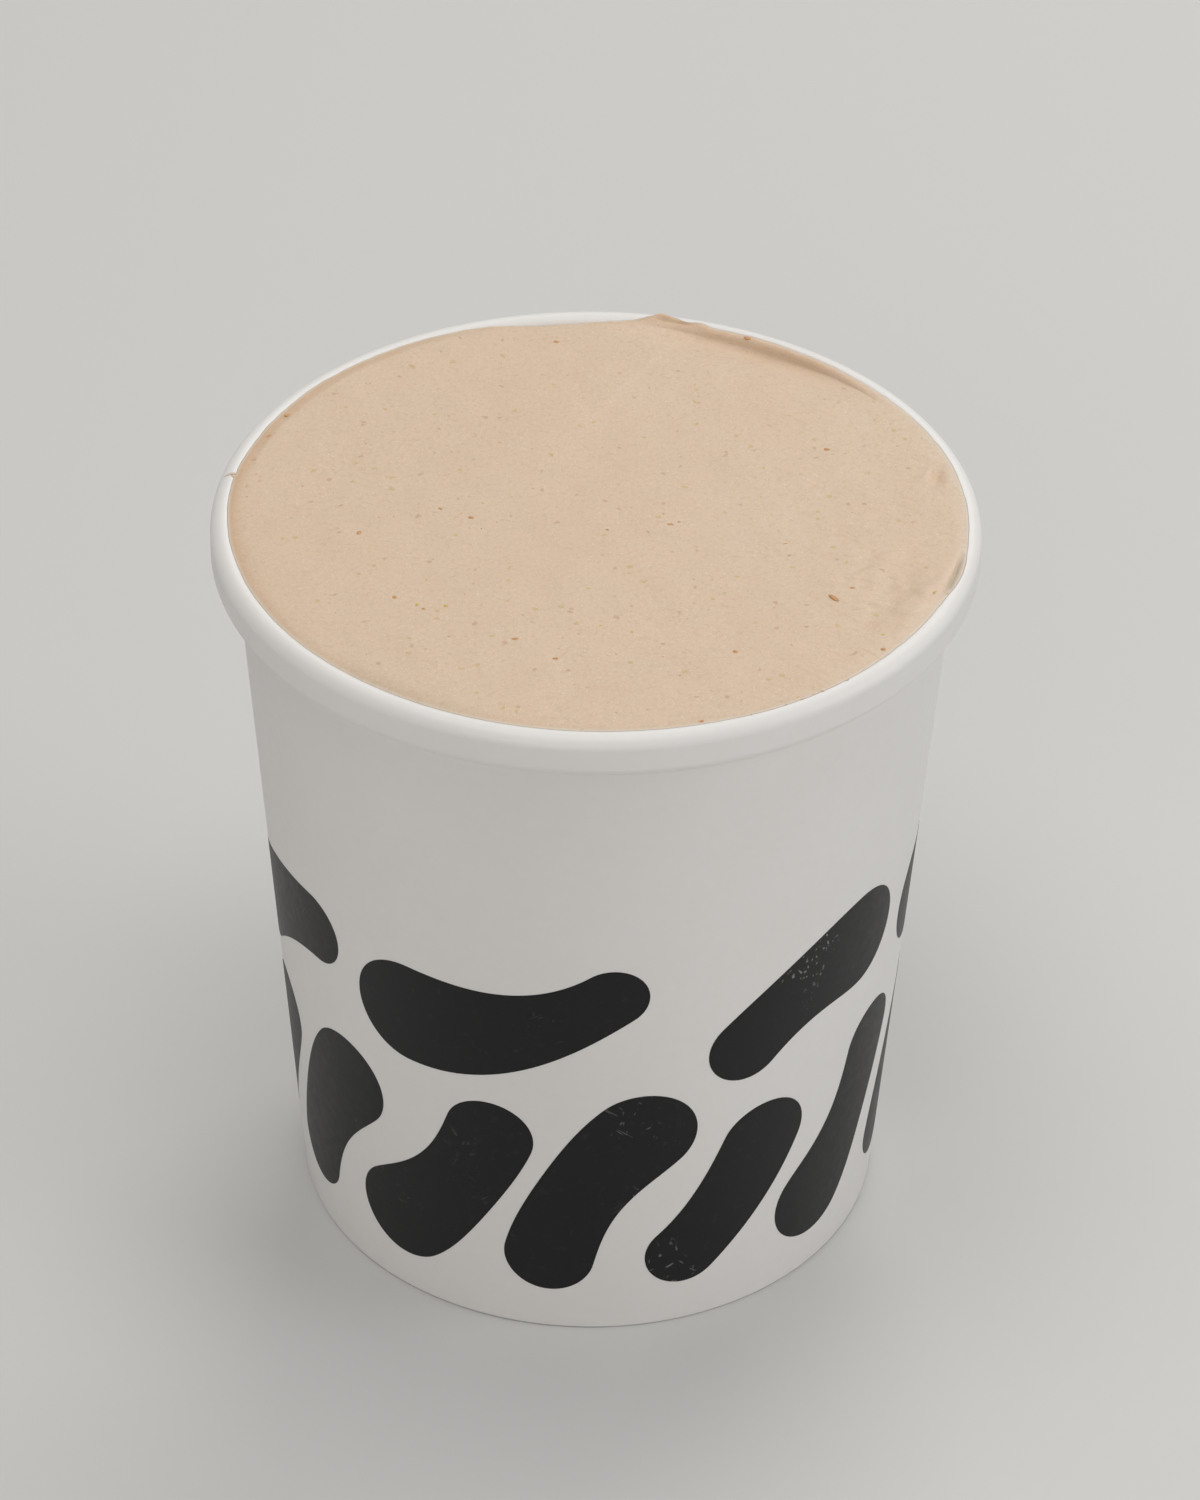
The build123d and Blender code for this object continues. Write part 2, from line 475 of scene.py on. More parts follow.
def linePoints(first, last, steps):
    shares = np.linspace(0, 1, steps + 1)[:-1]
    return [(first[0] + (last[0] - first[0]) * s, first[1] + (last[1] - first[1]) * s)
            for s in shares]


def wallSection():
    w = cupWall
    bend, short = w["bend"], rollRadius - w["board"]
    legOut = 2 * layer + 2 * w["fitGap"]
    legIn = legOut + layer
    legTop = w["baseRise"] - w["hemShort"]
    outside = (wallRadius(bend) - bend, bend)
    inside = (wallRadius(bend, legIn) + bend, bend)
    bendSteps, *turnSteps = w["arcSteps"]
    upSteps, rimSteps, downSteps = w["lineSteps"]
    points = arcPoints(outside, bend, -90, 0, bendSteps)
    rise = arcPoints(rollCentre, short, wallEnd, 0, turnSteps[0])
    points += linePoints(points.pop(), rise[0], upSteps) + rise
    points += arcPoints(tailCentre, short, 0, -w["tailTurn"], turnSteps[1])
    points += arcPoints(tailCentre, rollRadius, -w["tailTurn"], 0, turnSteps[2])
    over = arcPoints(rollCentre, rollRadius, 0, wallEnd, turnSteps[3])
    points += linePoints(points.pop(), over[0], rimSteps) + over
    foot = (wallRadius(w["board"], layer), w["board"])
    points += linePoints(points.pop(), foot, downSteps)
    points += [foot, (wallRadius(w["board"], legOut), w["board"]),
               (wallRadius(legTop, legOut), legTop), (wallRadius(legTop, legIn), legTop)]
    points += arcPoints(inside, bend, 180, 270, bendSteps)
    return points + [points[0]]


def makeTurnTree():
    group, tree, given = newGeometryTree("turnedSection", [
        ("Segments", "Int"), ("Start", "Float"), ("Sweep", "Float"), ("Material", "Material")])
    count = tree.add("GeometryNodeAttributeDomainSize", {"Geometry": given["Geometry"]},
                     "Point Count", component="MESH")
    sheet = unitSheet(tree, given["Segments"] + 1, count)
    index = tree.add("GeometryNodeInputIndex")
    column = (index / count).maths("FLOOR")
    row = index - column * count
    spot = tree.add("GeometryNodeSampleIndex", {
        "Geometry": given["Geometry"], "Index": row, "Value": position(tree)},
        data_type="FLOAT_VECTOR")
    turn = given["Start"] + given["Sweep"] * column / given["Segments"]
    place = tree.combine(spot.part(0) * turn.maths("COSINE"), spot.part(0) * turn.maths("SINE"),
                         spot.part(2))
    endTree(tree, moved(tree, sheet, place), given["Material"])
    return group


def turnSection(name, points, group, start, sweep, segments):
    host = meshObject(name + "Section", [(r * mm, 0.0, z * mm) for r, z in points])
    return runTree(name, host, group, {"Segments": segments, "Start": math.radians(start),
                                       "Sweep": math.radians(sweep), "Material": board})


def makeCupWall():
    w = cupWall
    group = makeTurnTree()
    wall = turnSection("cupWall", wallSection(), group, 0.0, 360.0, w["segments"])
    tidyMesh(wall, sharp=w["sharp"])
    low, high = w["seamInset"], cupHeight - w["rimHeight"] - w["seamInset"]
    lap = [(wallRadius(low, layer / 2), low)]
    lap += [(wallRadius(z, -layer), z) for z in np.linspace(low, high, 24)]
    lap += [(wallRadius(high, layer / 2), high), lap[0]]
    width = math.degrees(w["seamWidth"] / wallRadius(cupHeight / 2))
    seam = turnSection("seam", lap, group, w["seamAzimuth"] - width / 2, width,
                       w["seamSegments"])
    tidyMesh(seam, sharp=w["sharp"])
    joinPieces(wall, [seam])
    return wall


def joinPieces(main, others):
    work = bmesh.new()
    work.from_mesh(main.data)
    for other in others:
        work.from_mesh(other.data)
        bpy.data.objects.remove(other)
    work.to_mesh(main.data)
    work.free()


wall = makeCupWall()
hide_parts("cup_sidewall")
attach(wall, "root")

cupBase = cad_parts["cup_base"]
cupBase.data.materials.clear()
cupBase.data.materials.append(board)
print("cup made")


# print: separate rounded shapes, wrapped round the wall

printShapes = {
    "thickness": 0.04,
    "sink": 0.012,
    # points along and across each shape, and degrees beyond which an edge stays sharp
    "along": 64,
    "across": 14,
    "sharp": 50,
    # start azimuth, height, radius, end azimuth, height, radius, sideways bend, waist
    "shapes": [
        (-172, 47, 6.6, -146, 54.5, 5.2, 1.6, 0),
        (-123, 50, 8, -86, 58.5, 4.6, -2.6, 0),
        (-61, 46.5, 5.6, -36, 54.5, 7.6, 1.8, 0.06),
        (-9, 50, 7.6, 12, 56.5, 5, -1.2, 0),
        (33, 47, 6, 54, 55, 5.8, 1.6, 0.05),
        (73, 48.5, 5, 75, 58, 4.6, 0.8, 0),
        (106, 49, 5.4, 112, 58.5, 4.8, -0.8, 0),
        (131, 46.5, 5.6, 153, 54.5, 7.2, 1.6, 0.05),
        (170, 46.5, 4.3, 173, 56, 4, 0.6, 0),
        (-182, 13, 6.4, -166, 31, 5.6, -1, 0.08),
        (-154, 12.5, 5.4, -140, 32, 6.8, 1.2, 0.06),
        (-127, 13.5, 7.2, -108, 33, 5.8, -1.6, 0.1),
        (-97, 13, 6, -80, 34.5, 7, 1.8, 0.1),
        (-71, 12.5, 5.4, -56, 29, 6.2, -1, 0),
        (-41, 13.5, 7.2, -27, 34, 5.6, -1.4, 0.12),
        (-13, 12.5, 5.6, 0, 30, 6.8, 1.3, 0.06),
        (15, 13, 6.4, 30, 30.5, 5.4, -1.1, 0.08),
        (43, 12.5, 5.8, 57, 32.5, 6.8, 1.4, 0.08),
        (71, 13, 5.2, 76, 31.5, 4.6, -0.6, 0.04),
        (105.5, 12.5, 5, 115.5, 32, 5.8, 1, 0.05),
        (127, 13.5, 7, 143, 31.5, 5.6, -1.3, 0.1),
        (154, 12.5, 5.8, 167, 32, 6.4, 1.1, 0.06),
    ],
}
shapeColumns = ("startTurn", "startHeight", "startRadius", "endTurn", "endHeight", "endRadius",
                "bend", "waist")


def makePrintTree():
    group, tree, given = newGeometryTree("wrappedShapes", [
        ("Along", "Int"), ("Across", "Int"), ("Base Radius", "Float"), ("Taper", "Float"),
        ("Thickness", "Float"), ("Sink", "Float"), ("Material", "Material")])
    marked = storeNodes(tree, unitSheet(tree, given["Along"], given["Across"]), "sheetPlace",
                        position(tree), "FLOAT_VECTOR")
    spots = tree.add("GeometryNodeMeshToPoints", {"Mesh": given["Geometry"]})
    copies = tree.add("GeometryNodeInstanceOnPoints", {"Points": spots, "Instance": marked})
    flat = realize(tree, copies)
    sheetPlace = storedValue(tree, "sheetPlace", "FLOAT_VECTOR")
    (startTurn, startHeight, startRadius, endTurn, endHeight, endRadius, bend,
     waist) = (storedValue(tree, name) for name in shapeColumns)
    # along runs 0 to 1 and is crowded towards both round ends
    along = 0.5 - ((sheetPlace.part(0) + 0.5) * math.pi).maths("COSINE") * 0.5
    across = (sheetPlace.part(1) * math.pi).maths("SINE")
    perDegree = given["Base Radius"] + given["Taper"] * (startHeight + endHeight) / 2
    perDegree = perDegree * (math.pi / 180)
    stepTurn = (endTurn - startTurn) * perDegree
    stepUp = endHeight - startHeight
    length = (stepTurn * stepTurn + stepUp * stepUp).maths("SQRT")
    travel = along * (length + startRadius + endRadius) - startRadius
    share = (travel / length).clip()
    before = travel.maths("MINIMUM", 0.0)
    after = (travel - length).maths("MAXIMUM", 0.0)
    swell = share * share * (3.0 - 2.0 * share)
    middling = share * (1.0 - share) * 4.0
    radius = startRadius + (endRadius - startRadius) * swell
    radius = radius * (1.0 - waist * middling * middling)
    overrun = before / startRadius + after / endRadius
    halfWidth = radius * (1.0 - overrun * overrun).maths("MAXIMUM", 0.0).maths("SQRT")
    # the spine bows sideways, and its ends run on straight
    bow = bend * share * (1.0 - share) * 4.0
    slope = bend * 4.0 * (1.0 - 2.0 * share) / length
    stretch = (1.0 + slope * slope).maths("SQRT")
    beyond = before + after
    ahead = share * length + beyond / stretch - across * halfWidth * slope / stretch
    aside = bow + beyond * slope / stretch + across * halfWidth / stretch
    unitTurn, unitUp = stepTurn / length, stepUp / length
    turn = startTurn + (ahead * unitTurn - aside * unitUp) / perDegree
    height = startHeight + ahead * unitUp + aside * unitTurn
    angle = turn * (math.pi / 180)

    def wrapped(lift):
        reach = given["Base Radius"] + given["Taper"] * height + lift
        place = tree.combine(reach * angle.maths("COSINE"), reach * angle.maths("SINE"), height)
        return moved(tree, flat, place)

    outer = wrapped(given["Thickness"])
    inner = wrapped(given["Sink"] * -1.0)
    # the rim between the two faces, from the outer face's own edge pushed inwards
    outward = tree.vector("NORMALIZE", tree.vector("MULTIPLY", position(tree), (1.0, 1.0, 0.0)))
    inward = tree.vector("SCALE", outward, (given["Thickness"] + given["Sink"]) * -1.0)
    welded = tree.add("GeometryNodeMergeByDistance", {"Geometry": outer, "Distance": 1e-6})
    neighbours = tree.add("GeometryNodeInputMeshEdgeNeighbors", {}, "Face Count")
    edge = neighbours.maths("LESS_THAN", 1.5)
    skirt = tree.add("GeometryNodeExtrudeMesh",
                     {"Mesh": welded, "Selection": edge, "Offset": inward}, "Mesh",
                     mode="EDGES")
    closed = tree.add("GeometryNodeJoinGeometry", {"Geometry": skirt})
    tree.tree.links.new(inner.socket, closed.socket.node.inputs[0])
    endTree(tree, closed, given["Material"])
    return group


def makePrint():
    p = printShapes
    host = meshObject("printPlan", [(0.0, 0.0, 0.0)] * len(p["shapes"]))
    rows = np.array(p["shapes"]) * (1, mm, mm, 1, mm, mm, mm, 1)
    storeValues(host, dict(zip(shapeColumns, rows.T)))
    piece = runTree("printedShapes", host, makePrintTree(), {
        "Along": p["along"], "Across": p["across"], "Base Radius": wallRadius(0) * mm,
        "Taper": taper, "Thickness": p["thickness"] * mm, "Sink": p["sink"] * mm,
        "Material": ink})
    return tidyMesh(piece, join=2e-6, sharp=p["sharp"])


printed = makePrint()
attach(printed, "root")
print("print made")


# ice cream: levelled top with its marks, feathered over the rim

iceCream = {
    "crown": 0.20,
    "floor": 7.58,
    "sectors": 720,
    # ring spacing: up to which radius, step
    "rings": [(20.0, 1.0), (34.0, 0.6), (43.6, 0.4)],
    "edgeRings": 26,
    "edgeRadius": 45.9,
    "outermost": 47.5,
    "feather": 0.85,
    "skin": 0.014,
    # room between the filling and the roll, and between it and the wall
    "underGap": 0.005,
    "wallGap": 0.03,
    # coat over the rim: on top of the roll and down its inner side
    "film": (0.08, 0.30),
    "blend": 0.12,
    "shortBlend": 1.0,
    "shortfall": 1.15,
    "shortMiddle": 60.0,
    "shortReach": 20.0,
    "shortSlope": 7.0,
    "shortFoot": 1.0,
    # narrow creases beside the rim, sunk and painted with shade: azimuth, reach, radius, half
    # width, depth, painted shade
    "creases": [(-15.8, 4.8, 46.12, 0.3, 0.45, 0.68), (77.8, 2.9, 45.85, 0.42, 0.42, 0.26)],
    # broad rises and hollows: x, y, height, half widths, turn
    "patches": [
        (41.2, -17, 0.42, 7.5, 2.3, 61), (36.4, -17, -0.24, 7, 2.2, 75),
        (33.2, -23.7, -0.16, 1.6, 1.3, 30), (34.7, -8.9, -0.14, 1.8, 1.2, 70),
        (36, -9.1, 0.12, 1.2, 0.9, 60), (42.9, 9.1, -0.3, 2, 0.85, 78),
        (41.7, 9.3, 0.15, 1.7, 0.5, 72), (27, 2, -0.16, 14, 7, -25),
        (-4, 20, 0.14, 20, 6, 60), (-22, -14, 0.12, 13, 11, 20)],
    # stretches where the filling stops a little low at the wall: azimuth, reach, depth, width
    "lowStretches": [
        (143, 27, 0.24, 1.3), (-170, 14, 0.1, 2), (97, 9, 0.3, 1.6),
        (-128, 18, 0.04, 2.5)],
    "lowFoot": 45.4,
    # where the edge of the filling runs in or out: azimuth, reach, shift
    "edgeShifts": [
        (2, 33, 0.7), (60, 20, 0.2), (-60, 24, 0.45), (97, 11, -0.75),
        (-125, 14, -0.3), (172, 14, 0.28), (137, 25, 0.16), (-15.5, 6, 0.45),
        (79.6, 2.9, 1.5), (73.4, 1.6, 0.5)],
    # fine waves round that edge: how many in a turn, and their size
    "edgeWaves": (9, 14, 23, 31, 47, 66, 90, 121, 160),
    "edgeWaver": 0.14,
    # thicker places in the coat over the rim: azimuth, radius, thickness, along, across
    "smears": [
        (80.2, 46.6, 0.5, 1.6, 0.95), (76.4, 46.6, 0.2, 1.3, 0.7),
        (73.4, 46.7, 0.24, 0.7, 0.6), (-57, 45.8, 0.1, 1.2, 0.3),
        (-53.5, 45.9, 0.08, 0.9, 0.25)],
    # painted highlights on rises, and darker places, mostly painted shade in dents and creases
    # with one brown bit near the left rim: x, y, strength, half widths, turn
    "pale": [
        (42.6, -15, 0.75, 8, 2, 66), (41.7, 9.3, 0.85, 1.5, 0.4, 70),
        (36, -9.1, 0.55, 1, 0.8, 60), (44.6, -9.8, 0.7, 0.8, 0.5, 70),
        (25.2, -28, 0.35, 1.5, 0.5, 75)],
    "dark": [
        (42.9, 9.1, 0.42, 1.6, 0.75, 78), (33.2, -23.7, 0.36, 1.1, 0.9, 30),
        (34.7, -8.9, 0.12, 1.6, 0.9, 70), (39.3, -10, 0.13, 6, 1.7, 75),
        (9.7, 44.8, 0.85, 2.6, 0.6, 168), (-41.5, 16.1, 0.38, 1, 0.7, 35)],
    # the straight scrape line: from, to, height, width
    "scrape": ((9.3, 39.5), (-10.3, 5.0), 0.045, 0.55),
    "swells": (0.10, 0.05),
    # height and wavelength of the uneven, fine and dragged relief
    "relief": ((0.030, 9.0), (0.008, 2.8), (0.007, 1.9)),
    # rougher ground by the rise at the right: place as for the patches, then relief
    "roughPlace": (35.5, -14, 1.0, 13, 8, -70),
    "roughRelief": ((0.045, 3.6), (0.022, 1.7)),
    # tan at the border: a share all round, and more at the back as painted shade, as azimuth,
    # reach, share
    "border": 0.07,
    "borderShadeBack": [(160, 44, 0.68), (60, 26, 0.51)],
    # painted shade where the filling sits low by the wall
    "lowShadeShare": 0.30,
    # the thin film on the rim: no film there, and more of it here, as azimuth, reach, share
    "filmGap": (79.0, 5.0),
    "filmMore": (-5.0, 45.0, 0.30),
    # painted shade on the filling under the lip and down the wall
    "shadeUnderLip": 0.5,
    "seed": 11,
}


def stepShape(value, low, high):
    share = np.clip((value - low) / (high - low), 0, 1)
    return share * share * (3 - 2 * share)


def azimuthShape(azimuth, middle, reach, power=2):
    away = np.abs((azimuth - middle + 180) % 360 - 180)
    return np.exp(-(away / reach) ** power)


def headed(turn):
    return math.cos(math.radians(turn)), math.sin(math.radians(turn))


def ovalShape(x, y, middleX, middleY, height, along, across, turn):
    c, s = headed(turn)
    ahead = (x - middleX) * c + (y - middleY) * s
    aside = (y - middleY) * c - (x - middleX) * s
    return height * np.exp(-(ahead / along) ** 2 - (aside / across) ** 2)


def polar(x, y):
    return np.hypot(x, y), np.degrees(np.arctan2(y, x))


def ripple(x, y, wavelength, seed, squash=1.0, turn=0.0):
    # smooth uneven field of about unit height, the same for a given seed
    draw, count = np.random.default_rng(seed), 26
    c, s = headed(turn)
    u, v = x * c + y * s, (y * c - x * s) * squash
    total = np.zeros_like(x)
    for heading, stretch, phase in draw.random((count, 3)):
        waves = 2 * np.pi / (wavelength * (0.6 + 0.9 * stretch))
        angle = heading * 2 * np.pi
        total += np.cos(waves * (u * np.cos(angle) + v * np.sin(angle)) + phase * fullTurn)
    return total / math.sqrt(count / 2)


def topHeight(x, y):
    i = iceCream
    radius, azimuth = polar(x, y)
    height = i["swells"][0] * np.sin(x / 11 + 0.6) * np.cos(y / 14 - 0.4)
    height += i["swells"][1] * np.sin(x / 5.5 - y / 7)
    height += sum(ovalShape(x, y, *patch) for patch in i["patches"])
    uneven, fine, dragged = i["relief"]
    height += uneven[0] * ripple(x, y, uneven[1], i["seed"])
    # fine relief only where the rings are close enough to carry it
    outer = stepShape(radius, 16, 24)
    height += fine[0] * outer * ripple(x, y, fine[1], i["seed"] + 1)
    strokes = ripple(x, y, dragged[1], i["seed"] + 2, squash=0.15, turn=64)
    height += dragged[0] * strokes * outer * stepShape(x, 14, 34)
    rough = sum(size * ripple(x, y, wavelength, i["seed"] + 3 + k)
                for k, (size, wavelength) in enumerate(i["roughRelief"]))
    height += ovalShape(x, y, *i["roughPlace"]) * outer * rough
    (x0, y0), (x1, y1), deep, wide = i["scrape"]
    length = math.hypot(x1 - x0, y1 - y0)
    ahead = ((x - x0) * (x1 - x0) + (y - y0) * (y1 - y0)) / length
    aside = ((y - y0) * (x1 - x0) - (x - x0) * (y1 - y0)) / length
    fade = stepShape(ahead, -4, 3) * stepShape(length - ahead, -6, 8)
    height += deep * fade * (np.exp(-(aside / wide) ** 2) - 0.6 * np.tanh(aside / wide)
                             * np.exp(-(aside / 5.0) ** 2))
    foot = brimRadius - i["shortFoot"]
    height -= i["shortfall"] * azimuthShape(azimuth, i["shortMiddle"], i["shortReach"], 2.6) \
        * stepShape(radius, foot - i["shortSlope"], foot)
    for middle, reach, depth, width in i["lowStretches"]:
        height -= depth * azimuthShape(azimuth, middle, reach, 4) \
            * stepShape(radius, i["lowFoot"] - width, i["lowFoot"])
    return cupHeight + i["crown"] + height


def edgeRadius(azimuth):
    i = iceCream
    edge = i["edgeRadius"] + sum(shift * azimuthShape(azimuth, middle, reach)
                                 for middle, reach, shift in i["edgeShifts"])
    turn = np.radians(azimuth)
    draw = np.random.default_rng(i["seed"] + 7)
    for waves in i["edgeWaves"]:
        phase, share = draw.random(2)
        size = (0.3 + share) * i["edgeWaver"] / waves ** 0.6
        edge += size * np.cos(waves * turn + phase * fullTurn)
    return np.minimum(edge, i["outermost"])


def rollTop(radius, lift):
    reach = rollRadius + lift
    inside = np.clip(reach ** 2 - (rollCentre[0] - radius) ** 2, 0, None)
    return rollCentre[1] + np.sqrt(inside)


# how deep each crease sinks and how much painted shade it gets
def creaseAt(azimuth, radius):
    depth = paintedShade = 0.0
    for middle, reach, line, wide, deep, dark in iceCream["creases"]:
        shape = azimuthShape(azimuth, middle, reach, 4) * np.exp(-((radius - line) / wide) ** 2)
        depth = depth + deep * shape
        paintedShade = paintedShade + dark * shape
    return depth, paintedShade


def skinHeight(x, y):
    # the finished top: the level, the lip feathered down to the rim and the coat over it
    i = iceCream
    radius, azimuth = polar(x, y)
    edge = edgeRadius(azimuth)
    inside = np.clip(edge - radius, 0, None)
    lip = rollTop(edge, i["skin"])
    rise = 1 - np.exp(-(inside / i["feather"]) ** 1.3)
    height = lip + (topHeight(x, y) - lip) * rise
    thin, thickest = i["film"]
    thick = thin + (thickest - thin) * stepShape(rollCentre[0] - radius, 0.3, 1.3)
    for turn, middle, lift, along, across in i["smears"]:
        c, s = headed(turn)
        thick = thick + ovalShape(x, y, middle * c, middle * s, lift, across, along, turn)
    thick = i["skin"] + thick * stepShape(inside, 0, 0.9)
    onRoll = radius > rollCentre[0] - rollRadius - thick
    coat = np.where(onRoll, rollTop(radius, thick), 0.0)
    bare = np.where(onRoll, rollTop(radius, i["skin"]), 0.0)
    # the two meet in a soft fillet, wider where the filling is short
    apart = height - coat
    short = azimuthShape(azimuth, i["shortMiddle"], i["shortReach"] + 3, 4)
    blend = (i["blend"] + i["shortBlend"] * short) * stepShape(inside, 0, 1.2)
    height = (height + coat + np.sqrt(apart ** 2 + blend ** 2)) / 2
    return np.maximum(height - creaseAt(azimuth, radius)[0], bare)


def tanAndShadeShare(x, y, height):
    # tan where the filling is thin at its edge, and painted shade where it is short at the
    # back, low by the wall or dented, for its colour
    i = iceCream
    radius, azimuth = polar(x, y)
    inside = np.clip(edgeRadius(azimuth) - radius, 0, None)
    low = np.clip((cupHeight + 0.02 - height) / 0.75, 0, 1)
    # painted shade at the back, added to the tan border
    back = sum(more * azimuthShape(azimuth, middle, reach, 4)
               for middle, reach, more in i["borderShadeBack"])
    most = max(more for middle, reach, more in i["borderShadeBack"])
    share = (1 - stepShape(inside, 0.3, 2.0)) * (i["border"] + np.clip(back, 0, most))
    # painted shade where the filling sits low
    share = share + i["lowShadeShare"] * low * stepShape(radius, 41, 44) * stepShape(inside, 0, 0.9)
    # painted shade in dents and creases, and one brown bit
    share += sum(ovalShape(x, y, *spot) for spot in i["dark"])
    return np.clip(share, 0, 1)


def makeIceCream():
    i = iceCream
    azimuth = np.arange(i["sectors"]) * 360.0 / i["sectors"]
    azimuth = np.where(azimuth > 180, azimuth - 360, azimuth)
    turn = np.radians(azimuth)
    edge = edgeRadius(azimuth)
    inner, start = [], 0.0
    for end, step in i["rings"]:
        inner += list(np.arange(start + step, end + step / 2, step))
        start = inner[-1]
    radii = [np.full_like(turn, radius) for radius in inner]
    radii += [inner[-1] + (edge - inner[-1]) * k / i["edgeRings"]
              for k in range(1, i["edgeRings"] + 1)]

    def ring(radius, height):
        return np.stack([radius * np.cos(turn), radius * np.sin(turn), height + 0 * turn], 1)

    rings = [ring(radius, skinHeight(radius * np.cos(turn), radius * np.sin(turn)))
             for radius in radii]
    under = 1 + len(rings) * i["sectors"]
    # under the lip, down the inside of the wall and across the base
    touch = rollRadius + i["underGap"]
    first = np.degrees(np.arccos(np.clip((edge - rollCentre[0]) / touch, -1, 1)))
    for share in np.linspace(0.06, 1, 9):
        angle = np.radians(first + (wallEnd - first) * share)
        rings.append(ring(rollCentre[0] + touch * np.cos(angle),
                          rollCentre[1] + touch * np.sin(angle)))
    for height in np.linspace(rollCentre[1], i["floor"], 9)[1:]:
        rings.append(ring(wallRadius(height, layer + i["wallGap"]), height))
    for share in (0.66, 0.33):
        rings.append(ring(wallRadius(i["floor"], layer + i["wallGap"]) * share, i["floor"]))
    middle = skinHeight(np.zeros(1), np.zeros(1))[0]
    points = np.concatenate([[(0, 0, middle)], *rings, [(0, 0, i["floor"])]])
    piece = meshFromRings("iceCream", points, len(rings), i["sectors"])
    x, y, height = points.T
    radius, azimuth = polar(x, y)
    inside = edgeRadius(azimuth) - radius
    tanAndShade = tanAndShadeShare(x, y, height)
    # painted highlights on the rises
    paintedHighlight = np.clip(sum(ovalShape(x, y, *spot) for spot in i["pale"]), 0, 1)
    # painted shade in the creases
    creaseShade = creaseAt(azimuth, radius)[1]
    film = (1 - stepShape(inside, 0.05, 0.55)) * (1 - creaseShade)
    film = film * (1 - azimuthShape(azimuth, *i["filmGap"], 4))
    middle, reach, share = i["filmMore"]
    film += share * (1 - film) * (1 - stepShape(inside, 0.3, 2.6)) \
        * azimuthShape(azimuth, middle, reach, 4)
    # painted shade on every point under the lip
    tanAndShade[under:] = i["shadeUnderLip"]
    creaseShade[under:] = film[under:] = 0.0
    storeValues(piece, {"tanAndShade": tanAndShade, "paintedHighlight": paintedHighlight, "creaseShade": creaseShade, "film": film})
    return piece


def meshFromRings(name, points, rings, sectors):
    faces = []
    for s in range(sectors):
        after = (s + 1) % sectors
        faces.append((0, 1 + s, 1 + after))
        for k in range(rings - 1):
            low, high = 1 + k * sectors, 1 + (k + 1) * sectors
            faces.append((low + s, high + s, high + after, low + after))
        last = 1 + (rings - 1) * sectors
        faces.append((last + after, last + s, len(points) - 1))
    return meshObject(name, points * mm, faces)


# slivers and beads left on the rim: azimuth, radius, half length across the rim,
# half width along it, half thickness, slant
rimScraps = {
    "places": [
        (170.8, 46.55, 0.95, 0.2, 0.07, 0.45), (171.4, 46.1, 0.45, 0.26, 0.08, -0.2),
        (-53.6, 46.3, 0.16, 0.22, 0.12, 0), (-55.3, 46.2, 0.14, 0.16, 0.1, 0.3),
        (-57.4, 46.3, 0.13, 0.26, 0.1, 0), (-60.2, 46.2, 0.15, 0.15, 0.1, 0),
        (-49, 46.4, 0.12, 0.2, 0.09, 0.2), (-66, 46.3, 0.1, 0.16, 0.08, 0),
        (-21, 46.2, 0.18, 0.22, 0.1, 0)],
    "unevenness": 0.16,
    "lift": 0.03,
    "seed": 23,
}


def makeScraps():
    scraps = []
    for k, (azimuth, middle, across, along, up, slant) in enumerate(rimScraps["places"]):
        work = bmesh.new()
        bmesh.ops.create_icosphere(work, subdivisions=3, radius=1.0)
        turn = math.radians(azimuth)
        for point in work.verts:
            x, y, z = point.co
            swell = 1 + rimScraps["unevenness"] * ripple(
                np.array([x * 1.3 + z]), np.array([y * 1.3 - z]), 1.5, rimScraps["seed"] + k)[0]
            radius = middle + x * across * swell
            angle = turn + (y * along * swell + x * across * slant) / middle
            # the sliver sags over the rolled rim
            height = rollTop(radius, rimScraps["lift"]) + z * up * swell
            point.co = (radius * math.cos(angle) * mm, radius * math.sin(angle) * mm,
                        height * mm)
        scrap = meshObject("scrap%d" % k, [])
        work.to_mesh(scrap.data)
        work.free()
        scraps.append(scrap)
    return scraps


iceCreamPiece = tidyMesh(makeIceCream())
joinPieces(iceCreamPiece, makeScraps())
iceCreamPiece.data.shade_smooth()
iceCreamPiece.data.materials.append(cream)
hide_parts("ice_cream")
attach(iceCreamPiece, "root")
print("ice cream made")


# flecks of fruit and spice, lying in the surface

